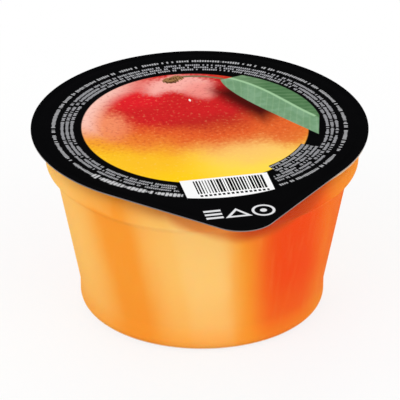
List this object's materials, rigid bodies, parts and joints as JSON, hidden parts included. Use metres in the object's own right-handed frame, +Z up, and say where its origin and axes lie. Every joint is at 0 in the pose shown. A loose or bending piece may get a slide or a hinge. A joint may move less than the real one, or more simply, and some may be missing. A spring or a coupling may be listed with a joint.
{
  "type": "jelly cup",
  "caption": "Sealed round portion cup of orange fruit jelly: tapered clear plastic with a stacking shoulder, closed by a flat black printed foil lid with a rounded pull tab.",
  "frame": {"origin": "centre of the foot ring, on the cup's axis, in the plane that the cup stands on", "axes": "+Z up along the cup's axis towards the lid, -Y to the front where the pull tab points, turned 12.5 degrees towards +X"},
  "size_m": [0.097, 0.1118, 0.0546],
  "materials": {
    "cup_plastic": "thin clear moulded plastic, satin",
    "jelly": "translucent orange fruit jelly, set, moist",
    "printed_foil": "aluminium foil printed satin black with a picture of a ripe fruit"
  },
  "bodies": {
    "root": {"cup": "cup_plastic", "jelly": "jelly", "lid": "printed_foil"}
  },
  "joints": []
}
